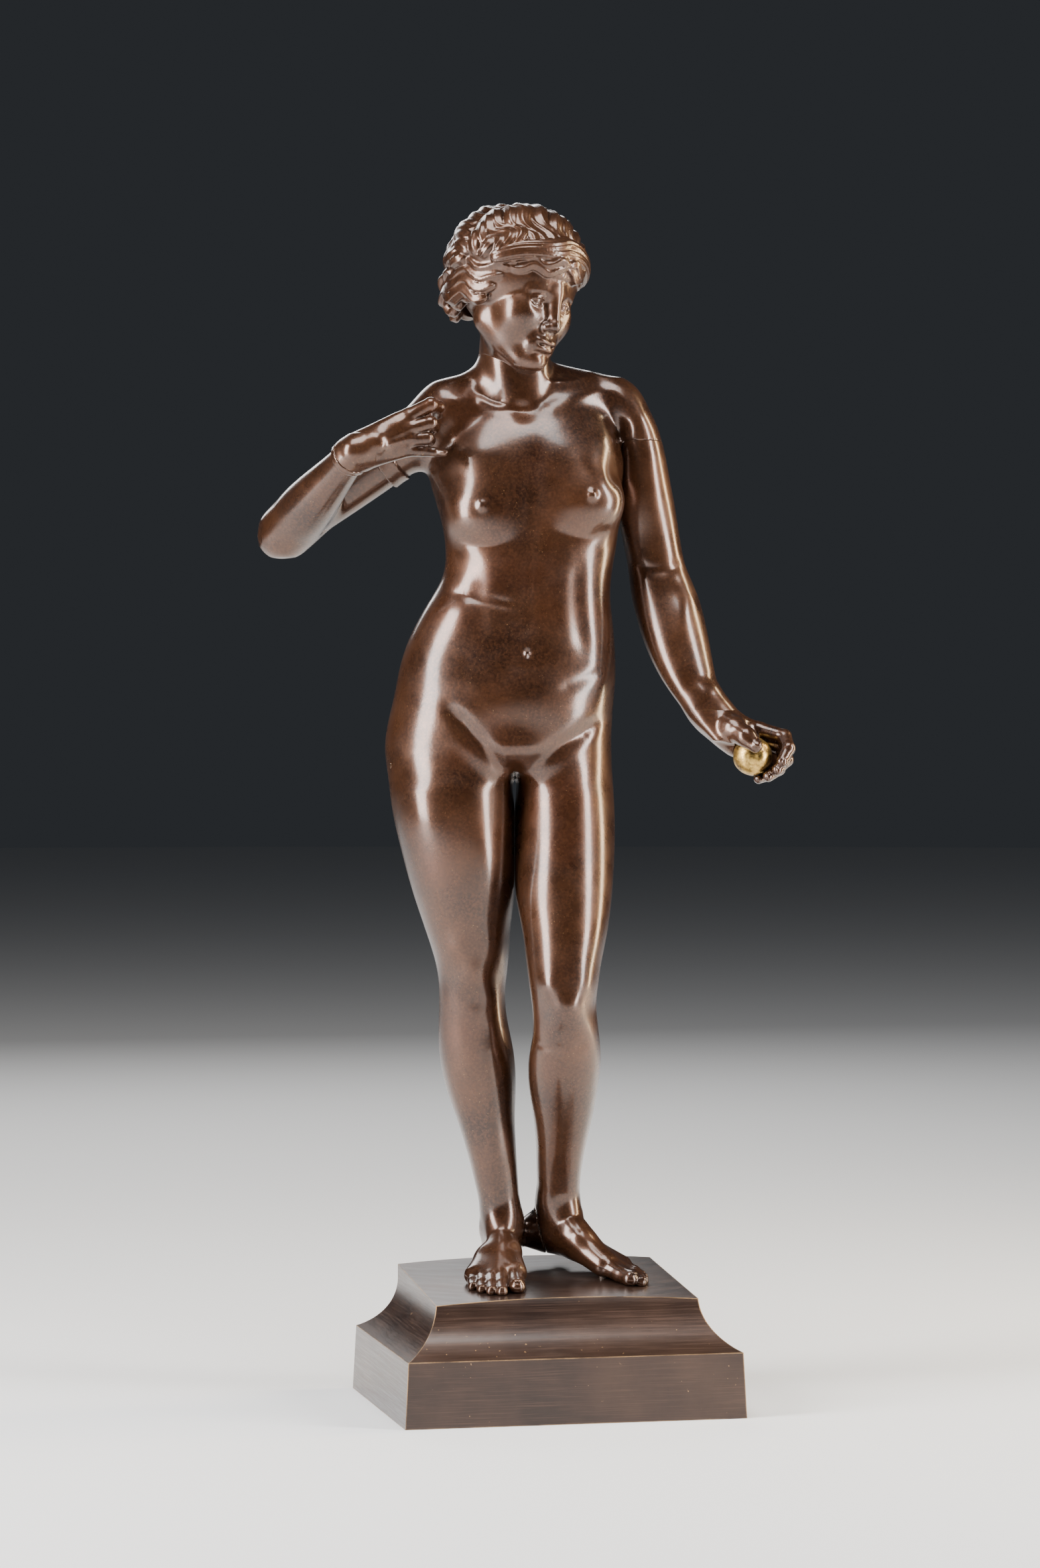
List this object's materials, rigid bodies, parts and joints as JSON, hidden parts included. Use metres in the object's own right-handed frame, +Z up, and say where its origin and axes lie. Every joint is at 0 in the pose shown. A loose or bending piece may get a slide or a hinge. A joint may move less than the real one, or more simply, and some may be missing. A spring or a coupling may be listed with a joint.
{
  "type": "bronze statuette",
  "caption": "Patinated bronze statuette of a standing classical nude woman holding a small gilt apple, on a rectangular moulded plinth.",
  "frame": {"origin": "middle of the plinth's resting rim, on the surface it stands on", "axes": "+Z up the figure; the plinth's front faces -Y; the figure's own right side is towards -X"},
  "size_m": [0.2687, 0.148, 0.6339],
  "materials": {
    "bronze": "dark brown waxed patina over cast bronze, glossy",
    "gilt_bronze": "worn gilding with fine pitting",
    "bronze_pin": "plain drawn bronze rod",
    "iron_fastening": "dull blackened iron"
  },
  "bodies": {
    "root": {"plinth": "bronze", "torso": "bronze", "head": "bronze", "right_leg": "bronze", "left_leg": "bronze", "right_forearm": "bronze", "right_hand": "bronze", "left_arm": "bronze", "left_hand": "bronze", "apple": "gilt_bronze", "neck_pin": "bronze_pin", "right_hip_pin": "bronze_pin", "left_hip_pin": "bronze_pin", "left_shoulder_pin": "bronze_pin", "right_arm_pin": "bronze_pin", "right_wrist_pin": "bronze_pin", "left_wrist_pin": "bronze_pin", "apple_pin": "bronze_pin", "foot_studs": "iron_fastening", "foot_washers": "iron_fastening", "foot_nuts": "iron_fastening"}
  },
  "joints": []
}
